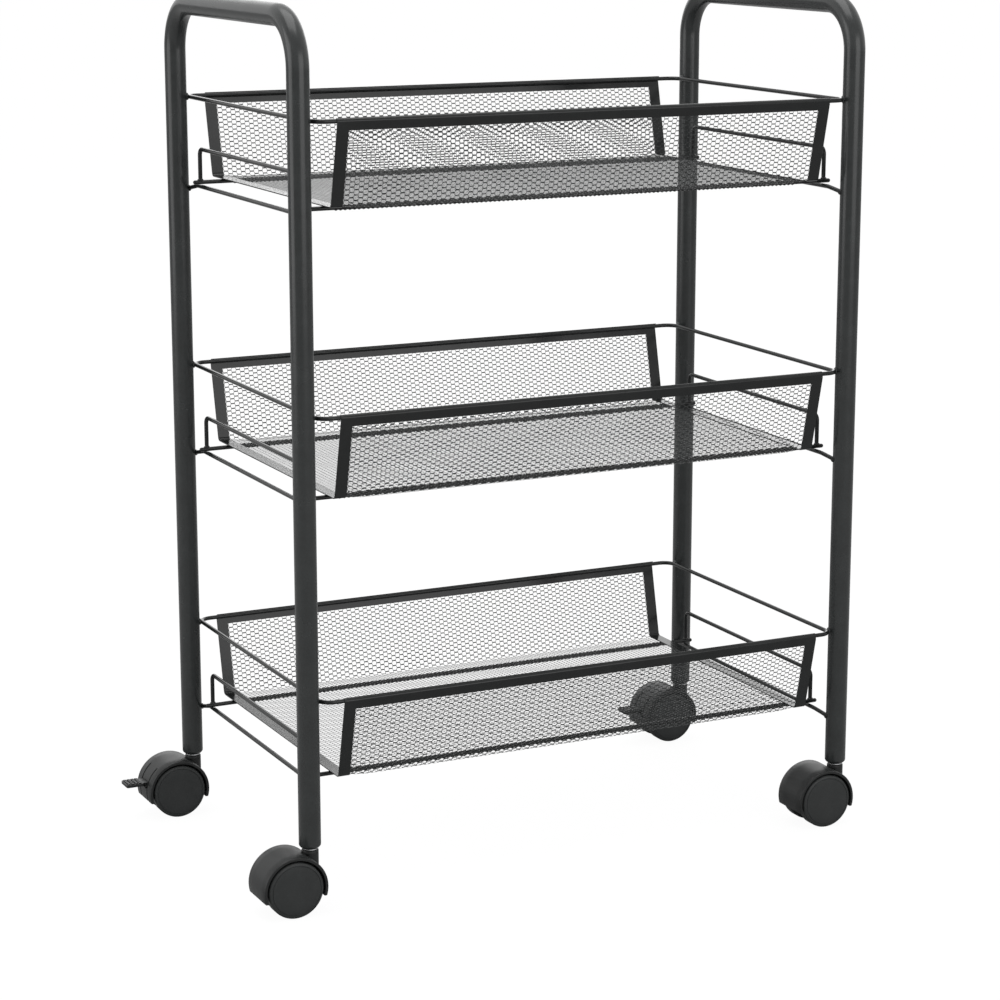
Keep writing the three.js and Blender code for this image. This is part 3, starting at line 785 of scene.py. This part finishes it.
def fast_mesh(name, verts, triangles, flat, material):
    """A mesh straight from arrays, with a flat map of the unrolled sheet."""
    mesh = bpy.data.meshes.new(name)
    mesh.vertices.add(len(verts))
    mesh.vertices.foreach_set("co", (verts * MM).astype(np.float32).ravel())
    mesh.loops.add(triangles.size)
    mesh.loops.foreach_set("vertex_index", triangles.astype(np.int32).ravel())
    mesh.polygons.add(len(triangles))
    mesh.polygons.foreach_set("loop_start", np.arange(0, triangles.size, 3, dtype=np.int32))
    mesh.update(calc_edges=True)
    clean(mesh)
    mesh.materials.append(material)
    span = flat.max(0) - flat.min(0)
    chart = (flat - flat.min(0)) / span.max()
    order = np.zeros(len(mesh.loops), np.int32)
    mesh.loops.foreach_get("vertex_index", order)
    layer = mesh.uv_layers.new(name="OFBake")
    layer.data.foreach_set("uv", chart[order].astype(np.float32).ravel())
    return mesh


def rim_wire():
    corners = [(-rim_half_x, -rim_half_y, 0), (rim_half_x, -rim_half_y, 0)]
    corners += [(rim_half_x, rim_half_y, 0), (-rim_half_x, rim_half_y, 0)]
    stations = bent_path(corners, RIM_CORNER_R, 12, closed=True)
    axes = frames_along(stations)
    return loft([ring(p, a, WIRE_R, WIRE_SIDES) for (p, _), a in zip(stations, axes)], closed=True)


def floor_wire():
    """A straight wire with rounded tips, thicker where the coat bridges to the mesh on it."""
    stations = [(along - floor_wire_half, r) for along, r in WIRE_TIP]
    reach = floor_wire_half - WIRE_R
    for x in np.linspace(-reach, reach, round(2 * reach / MESH_LONG * BRIDGE_STEPS))[1:-1]:
        bridged = 0
        if abs(x) < tray_half - RIBBON:
            bridged = math.cos(2 * math.pi * x / MESH_LONG) ** BRIDGE_SHARPNESS
        stations.append((x, WIRE_R + COAT_BRIDGE * bridged))
    stations += [(floor_wire_half - along, r) for along, r in reversed(WIRE_TIP)]
    axes = (np.array((0, 1, 0)), np.array((0, 0, 1)))
    return loft([ring(np.array((x, 0, 0)), axes, r, FLOOR_WIRE_SIDES) for x, r in stations])


def guard_wire(end):
    """The low wire across an open end of a basket, with its feet welded on the two floor wires."""
    x, foot = end * guard_x, floor_wire_z + WIRE_R
    corners = [(x, -floor_wire_y, foot), (x, -floor_wire_y, guard_z)]
    corners += [(x, floor_wire_y, guard_z), (x, floor_wire_y, foot)]
    shape = wire(corners, GUARD_CORNER_R)
    for side in (-1, 1):
        spot = (x, side * floor_wire_y, foot + GUARD_WELD_LIFT)
        shape.join(bead(spot, 0.0, GUARD_WELD, GUARD_WELD_SEED + end + 2 * side))
    return shape


def support_wire(end):
    """The wire between two legs that carries the floor wires; its ends drop to the welds."""
    end_x = end * (upright_x - TUBE_R + WIRE_R * SUPPORT_SINK)
    run_x = end * (upright_x - TUBE_R - 2 * CLEAR - WIRE_R)
    end_y, run_y = upright_y - WIRE_R, upright_y - SUPPORT_LEG
    end_z = support_z - SUPPORT_DROP
    corners = [(end_x, -end_y, end_z), (run_x, -run_y, support_z)]
    corners += [(run_x, run_y, support_z), (end_x, end_y, end_z)]
    shape = wire(corners, SUPPORT_BEND_R, steps=6)
    for side in (-1, 1):
        spot = (end * (upright_x - TUBE_R), side * (end_y - 1), end_z)
        shape.join(bead(spot, 0.0, SUPPORT_WELD, SUPPORT_WELD_SEED + end + 2 * side))
    return shape


rim_mesh = rim_wire().mesh("rim_wire", SHADED_WIRE_COAT)
binding_mesh = binding().mesh("edge_binding", SHADED_WIRE_COAT, sharp=45)
floor_wire_mesh = floor_wire().mesh("floor_wire", SHADED_WIRE_COAT, sharp=60)
end_wire_meshes = {
    (kind, name): draw(end).mesh(f"{kind}_wire_{name}", SHADED_WIRE_COAT, sharp=60)
    for kind, draw in (("guard", guard_wire), ("support", support_wire))
    for name, end in ENDS.items()
}
PANELS = ("front", "floor", "back")
panel_meshes = [
    fast_mesh(f"mesh_{n}", *arrays, MESH_COAT) for n, arrays in zip(PANELS, mesh_pieces(len(PANELS)))
]

for tier in TIERS:
    at = (middle_x, 0, rim_z[tier])
    place(f"rim_wire_{tier}_round", rim_mesh, "cart", [f"rim_wire_{tier}"], at)
    edging = [f"edge_binding_{tier}"]
    place(f"tray_edging_{tier}", binding_mesh, "cart", edging, at, 0.16, 2)
    for panel, mesh in zip(PANELS, panel_meshes):
        place(f"expanded_mesh_{tier}_{panel}", mesh, "cart", [f"mesh_tray_{tier}"], at)
    for side_name, side in SIDES.items():
        spot = (middle_x, side * floor_wire_y, rim_z[tier] + floor_wire_z)
        node = f"floor_wire_{tier}_{side_name}"
        place(f"{node}_round", floor_wire_mesh, "cart", [node], spot)
    for end_name in ENDS:
        for kind in ("guard", "support"):
            node = f"{kind}_wire_{tier}_{end_name}"
            place(f"{node}_round", end_wire_meshes[kind, end_name], "cart", [node], at)


# ---- Casters, drawn round the stem's axis ----
def arc(x, z, radius, start, stop, steps):
    return [
        (x + radius * math.cos(a), z + radius * math.sin(a)) for a in np.linspace(start, stop, steps + 1)
    ]


def hood_angles(low, high, marks):
    """Even angles over the hood's shell, with the nearest one moved onto each mark."""
    angles = [low + (high - low) * share for share in np.linspace(0, 1, HOOD_STEPS + 1)]
    for mark in marks:
        nearest = min(range(len(angles)), key=lambda i: abs(angles[i] - mark))
        angles[nearest] = mark
    return angles


def hood_web(braked):
    """The outline of the plate between the wheels, with room for a brake lever and its knuckle."""
    radius = HOOD_R - HOOD_WALL / 2
    end = math.asin(HOOD_DROP / radius)
    if not braked:
        return arc(-caster_trail, axle_z, radius, -end, math.pi + end, 56)
    pivot = -caster_trail - LEVER_PIVOT_BACK
    notch_top = LEVER_UP + LEVER_THICK + CLEAR
    above = math.pi - math.asin(notch_top / radius)
    below = math.pi - math.asin(NOTCH_FOOT / radius)
    near, far, top = pivot + KNUCKLE_ROOM, pivot - KNUCKLE_ROOM, axle_z + KNUCKLE_ROOM_TOP
    room = [(far, axle_z + notch_top), (far, top), (near, top), (near, axle_z + NOTCH_FOOT)]
    outline = arc(-caster_trail, axle_z, radius, -end, above, 44) + room
    return outline + arc(-caster_trail, axle_z, radius, below, math.pi + end, 10)


def hood(braked):
    """A caster's shell, plate and axle boss; a braked one has the lever's slot between two grooves."""
    inside = HOOD_R - HOOD_WALL
    half = HOOD_WIDTH / 2
    slot_half = LEVER_WIDTH / 2 + CLEAR
    slot_drop = (HOOD_R - LEVER_PIVOT_BACK) * math.tan(LEVER_SWING)
    slot_low = math.asin((LEVER_UP - slot_drop - CLEAR) / HOOD_R)
    slot_high = math.asin((LEVER_UP + LEVER_THICK + CLEAR) / HOOD_R)
    reach, inner_reach = math.asin(HOOD_DROP / HOOD_R), math.asin(HOOD_DROP / inside)
    low, high = -reach, math.pi + reach
    angles = hood_angles(low, high, [math.pi - mark for mark in (slot_low, slot_high, PANEL_TOP)])
    columns = [-half, -half + HOOD_EDGE] + [-slot_half - edge for edge in reversed(GROOVE_EDGES)]
    columns += [-slot_half, -HOOD_WEB / 2]
    columns += [-c for c in reversed(columns)]
    outer = np.zeros((len(angles), len(columns), 3))
    inner = outer.copy()
    for a, angle in enumerate(angles):
        inner_angle = -inner_reach + (math.pi + 2 * inner_reach) * (angle - low) / (high - low)
        grooved = braked and angle >= math.pi - PANEL_TOP - 1e-9
        for b, y in enumerate(columns):
            radius = HOOD_R
            if b in (0, len(columns) - 1):
                radius -= HOOD_EDGE_DROP
            elif grooved and abs(abs(y) - slot_half - GROOVE_MIDDLE) < GROOVE_HALF:
                radius -= GROOVE_DEPTH
            x, z = radius * math.cos(angle), radius * math.sin(angle)
            outer[a, b] = (x - caster_trail, y, axle_z + z)
            x, z = inside * math.cos(inner_angle), inside * math.sin(inner_angle)
            inner[a, b] = (x - caster_trail, y, axle_z + z)
    keep = np.ones((len(angles) - 1, len(columns) - 1), bool)
    if braked:
        for a in range(len(angles) - 1):
            angle = math.pi - (angles[a] + angles[a + 1]) / 2
            for b in range(len(columns) - 1):
                y = (columns[b] + columns[b + 1]) / 2
                if slot_low < angle < slot_high and abs(y) < slot_half:
                    keep[a, b] = False
    shape = thick_grid(outer, inner, keep)
    shape.join(prism(hood_web(braked), -HOOD_WEB / 2, HOOD_WEB / 2, axis="y"))
    return shape.join(lathe(BOSS_PROFILE, 40, axis="y", at=(-caster_trail, 0, axle_z)))


def neck():
    """The socket over the stem: a column flattened behind, under a full round collar."""
    shelf, lip, floor = neck_top - NECK_COLLAR, neck_top - STEM_COLLAR_SHOWS, neck_top - NECK_FLOOR
    full = math.acos(-NECK_FLAT / NECK_R)
    bore = STEM_R + CLEAR
    shape = prism(arc(0, 0, NECK_R, -full, full, 40), axle_z - HOOD_DROP + 1, shelf + 0.2)
    collar = [(0, shelf), (NECK_R - 0.3, shelf), (NECK_R, shelf + 0.3), (NECK_R, lip - 0.6)]
    collar += [(NECK_R - 0.2, lip - 0.15), (NECK_R - 0.6, lip), (bore + 0.3, lip)]
    collar += [(bore, lip - 0.3), (bore, floor), (0, floor)]
    return shape.join(lathe(collar, 48))


def stem():
    """The pin in the neck and the bush, with a bright collar between them."""
    collar_foot = neck_top + CLEAR
    low, high = collar_foot - STEM_COLLAR_SHOWS, collar_foot + STEM_COLLAR
    profile = [(0, stem_foot), (STEM_R - 1, stem_foot), (STEM_R, stem_foot + 1), (STEM_R, low)]
    profile += [(STEM_COLLAR_R - 0.3, low), (STEM_COLLAR_R, low + 0.25), (STEM_COLLAR_R, high - 0.35)]
    profile += [(STEM_COLLAR_R - 0.2, high - 0.05), (STEM_R, high)]
    profile += [(STEM_R, stem_top - 1), (STEM_R - 1, stem_top), (0, stem_top)]
    return lathe(profile, 48)


def bush():
    """The ringed sleeve in the end of a leg."""
    outer, bore = TUBE_R - TUBE_WALL - 2 * CLEAR, STEM_R + CLEAR
    groove = outer - BUSH_GROOVE
    profile = [(bore, bush_foot), (outer - 0.5, bush_foot), (outer, bush_foot + 0.5)]
    for k in range(BUSH_RINGS):
        z = bush_foot + 3 + BUSH_RING_PITCH * k
        profile += [(outer, z), (groove, z + 0.3), (groove, z + 1.2), (outer, z + 1.5)]
    profile += [(outer, bush_top - 0.5), (outer - 0.5, bush_top), (bore, bush_top)]
    return lathe(profile, 40)


def axle():
    """A plain pin with chamfered ends."""
    half, ease = axle_half, 0.3
    profile = [(0, -half), (AXLE_R - ease, -half), (AXLE_R, -half + ease)]
    profile += [(AXLE_R, half - ease), (AXLE_R - ease, half), (0, half)]
    return lathe(profile, 32, axis="y", at=(-caster_trail, 0, axle_z))


def wheel(side):
    """A hollow wheel: a blind hub and a tread behind one disc, with a round shoulder and a lip outside."""
    inner, outer, edge = WHEEL_INNER, WHEEL_OUTER, axle_z
    disc, tread = outer - WHEEL_DISC, edge - WHEEL_TREAD
    profile = [(0, WHEEL_BORE_END), (WHEEL_BORE_R, WHEEL_BORE_END), (WHEEL_BORE_R, inner + 0.3)]
    profile += [(WHEEL_BORE_R + 0.3, inner), (WHEEL_HUB_R - 0.3, inner), (WHEEL_HUB_R, inner + 0.3)]
    profile += [(WHEEL_HUB_R, disc - 0.2), (WHEEL_HUB_R + 0.2, disc)]
    profile += [(tread - 0.2, disc), (tread, disc - 0.2), (tread, inner + 0.3), (tread + 0.3, inner)]
    profile += [(edge - 0.9, inner)]
    profile += [(edge - 0.35, inner + 0.25), (edge, inner + 0.9), (edge, outer - 2.2)]
    for a in np.radians((15, 35, 55, 75)):
        around = edge - WHEEL_ROUND + WHEEL_ROUND * math.cos(a)
        profile.append((around, outer - 1.95 + WHEEL_ROUND * math.sin(a)))
    profile += [(edge - 2.1, outer - 0.2), (edge - 2.35, outer - 0.5), (edge - 2.7, outer - 0.5)]
    profile += [(edge - 2.95, outer - 0.12), (edge - 3.4, outer - 0.06), (edge * 0.5, outer), (0, outer)]
    turned = [(r, side * y) for r, y in profile]
    return lathe(turned, 72, axis="y", at=(-caster_trail, 0, axle_z))


def lever():
    """A flat arm that widens to a tab behind the hood, with a knuckle in the hood and pads for the foot."""
    foot, top = axle_z + LEVER_UP, axle_z + LEVER_UP + LEVER_THICK
    half, wide, tip = LEVER_WIDTH / 2, LEVER_TAB_WIDTH / 2, -(caster_trail + HOOD_R + LEVER_TAB)
    pivot = -caster_trail - LEVER_PIVOT_BACK
    shoulder = -caster_trail - HOOD_R - LEVER_SHOULDER
    flare = shoulder - (wide - half)
    turn = LEVER_CORNER_R
    outline = [(pivot, -half), (pivot, half), (shoulder, half), (flare, wide)]
    outline += arc(tip + turn, wide - turn, turn, math.pi / 2, math.pi, 6)
    outline += arc(tip + turn, turn - wide, turn, math.pi, 1.5 * math.pi, 6)
    outline += [(flare, -wide), (shoulder, -half)]
    shape = prism(outline, foot, top)
    radius, ease = LEVER_KNUCKLE_R, 0.3
    knuckle = [(0, -half), (radius - ease, -half), (radius, -half + ease)]
    knuckle += [(radius, half - ease), (radius - ease, half), (0, half)]
    shape.join(lathe(knuckle, 32, axis="y", at=(pivot, 0, foot + LEVER_THICK / 2)))
    for column in range(PADS):
        for row in range(PADS):
            low_x, middle_y = tip + PAD_INSET + column * PAD_PITCH_X, (row - (PADS - 1) / 2) * PAD_PITCH_Y
            high_x, low_y, high_y = low_x + PAD_LENGTH, middle_y - PAD_WIDTH / 2, middle_y + PAD_WIDTH / 2
            pad = [(low_x, low_y), (high_x, low_y), (high_x, high_y), (low_x, high_y)]
            shape.join(prism(pad, top - PAD_FOOT, top + PAD_TOP))
    return shape


hood_meshes = {braked: hood(braked).mesh(f"hood_{braked}", PLASTIC) for braked in (True, False)}
neck_mesh = neck().mesh("neck", PLASTIC)
stem_mesh = stem().mesh("stem", STEEL)
bush_mesh = bush().mesh("bush", PLASTIC)
axle_mesh = axle().mesh("axle", STEEL)
wheel_meshes = {"a": wheel(-1).mesh("wheel_a", NYLON), "b": wheel(1).mesh("wheel_b", NYLON)}
lever_mesh = lever().mesh("lever", PLASTIC)

for side_name, side in SIDES.items():
    for end_name, end in ENDS.items():
        spot = f"{side_name}_{end_name}"
        stem_at = middle_of(f"caster_stem_{spot}")
        at = (stem_at[0], stem_at[1], 0)
        body = f"caster_{spot}"
        braked = side > 0
        hood_node = [f"caster_hood_{spot}"]
        place(f"hood_shell_{spot}", hood_meshes[braked], body, hood_node, at, 0.45)
        place(f"hood_neck_{spot}", neck_mesh, body, hood_node, at, 0.25, 2)
        place(f"stem_pin_{spot}", stem_mesh, body, [f"caster_stem_{spot}"], at)
        place(f"tube_bush_{spot}", bush_mesh, "cart", [f"socket_bush_{spot}"], at)
        place(f"axle_pin_{spot}", axle_mesh, body, [f"caster_axle_{spot}"], at)
        for letter, mesh in wheel_meshes.items():
            node = f"wheel_{spot}_{letter}"
            place(f"{node}_round", mesh, f"{node}_body", [node], at)
        if braked:
            body = f"brake_back_{end_name}"
            node = f"brake_lever_{spot}"
            place(f"{node}_tab", lever_mesh, body, [node], at, 0.3, 2)


# ---- Floor, light and camera ----
world = bpy.data.worlds.new("studio")
bpy.context.scene.world = world
world.use_nodes = True
nodes, links = world.node_tree.nodes, world.node_tree.links
background = nodes["Background"]
background.inputs["Color"].default_value = (1, 1, 1, 1)
facing = nodes.new("ShaderNodeVectorMath")
facing.operation = "DOT_PRODUCT"
facing.inputs[1].default_value = ROOM_BRIGHT_WAY
links.new(nodes.new("ShaderNodeTexCoord").outputs["Generated"], facing.inputs[0])
room = nodes.new("ShaderNodeMapRange")
room.inputs["From Min"].default_value = ROOM_FROM
room.inputs["From Max"].default_value = ROOM_TO
room.inputs["To Min"].default_value = ROOM_DARK
room.inputs["To Max"].default_value = 1.0
links.new(facing.outputs["Value"], room.inputs["Value"])
rays = nodes.new("ShaderNodeLightPath")
ambient = nodes.new("ShaderNodeMix")
links.new(rays.outputs["Is Camera Ray"], ambient.inputs["Factor"])
links.new(room.outputs["Result"], ambient.inputs["A"])
ambient.inputs["B"].default_value = 1.0
links.new(ambient.outputs["Result"], background.inputs["Strength"])

floor_mesh = bpy.data.meshes.new("floor")
floor_corners = [(x * FLOOR_HALF, y * FLOOR_HALF, 0) for x, y in ((-1, -1), (1, -1), (1, 1), (-1, 1))]
floor_mesh.from_pydata(floor_corners, [], [(0, 1, 2, 3)])
floor = bpy.data.objects.new("floor", floor_mesh)
bpy.context.scene.collection.objects.link(floor)
paper = bpy.data.materials.new("paper")
paper.use_nodes = True
nodes, links = paper.node_tree.nodes, paper.node_tree.links
shader = nodes["Principled BSDF"]
shader.inputs["Base Color"].default_value = (PAPER_GREY, PAPER_GREY, PAPER_GREY, 1)
shader.inputs["Roughness"].default_value = 0.9
shader.inputs["Specular IOR Level"].default_value = 0.0
glow = nodes.new("ShaderNodeEmission")
glow.inputs["Strength"].default_value = PAPER_GLOW
rays = nodes.new("ShaderNodeLightPath")
seen = nodes.new("ShaderNodeMath")
seen.operation = "MULTIPLY"
seen.inputs[1].default_value = PAPER_SHARE
shown = nodes.new("ShaderNodeMixShader")
links.new(rays.outputs["Is Camera Ray"], seen.inputs[0])
links.new(seen.outputs["Value"], shown.inputs["Fac"])
links.new(shader.outputs["BSDF"], shown.inputs[1])
links.new(glow.outputs["Emission"], shown.inputs[2])
links.new(shown.outputs["Shader"], nodes["Material Output"].inputs["Surface"])
floor_mesh.materials.append(paper)


def softbox(name, spot, aim, width, height, power):
    """A soft lamp that lights the cart and shows in its gloss, but not to the camera."""
    light = bpy.data.lights.new(name, "AREA")
    light.shape = "RECTANGLE"
    light.size, light.size_y, light.energy = width, height, power
    lamp = bpy.data.objects.new(name, light)
    bpy.context.scene.collection.objects.link(lamp)
    lamp.location = spot
    lamp.visible_camera = False
    lamp.rotation_euler = (Vector(aim) - Vector(spot)).to_track_quat("-Z", "Y").to_euler()


softbox("softbox_top", (-0.2, 0.1, 2.6), (0, 0, 0.3), 2.0, 2.0, 28)
softbox("softbox_left", (-2.17, 0.30, 0.75), AIM, 1.5, 1.7, 13)
softbox("softbox_front", (0.45, -2.36, 0.85), AIM, 1.9, 1.5, 14)
softbox("softbox_back", (1.10, 2.25, 0.95), AIM, 2.4, 1.4, 9)

camera_data = bpy.data.cameras.new("camera")
camera_data.sensor_width = 36
camera_data.lens = CAMERA_LENS
camera = bpy.data.objects.new("camera", camera_data)
bpy.context.scene.collection.objects.link(camera)
camera.location = CAMERA_SPOT
level = math.cos(CAMERA_PITCH)
forward = Vector((math.sin(CAMERA_YAW) * level, math.cos(CAMERA_YAW) * level, -math.sin(CAMERA_PITCH)))
camera.rotation_euler = forward.to_track_quat("-Z", "Y").to_euler()
bpy.context.scene.camera = camera
bpy.context.scene.view_settings.view_transform = "Standard"
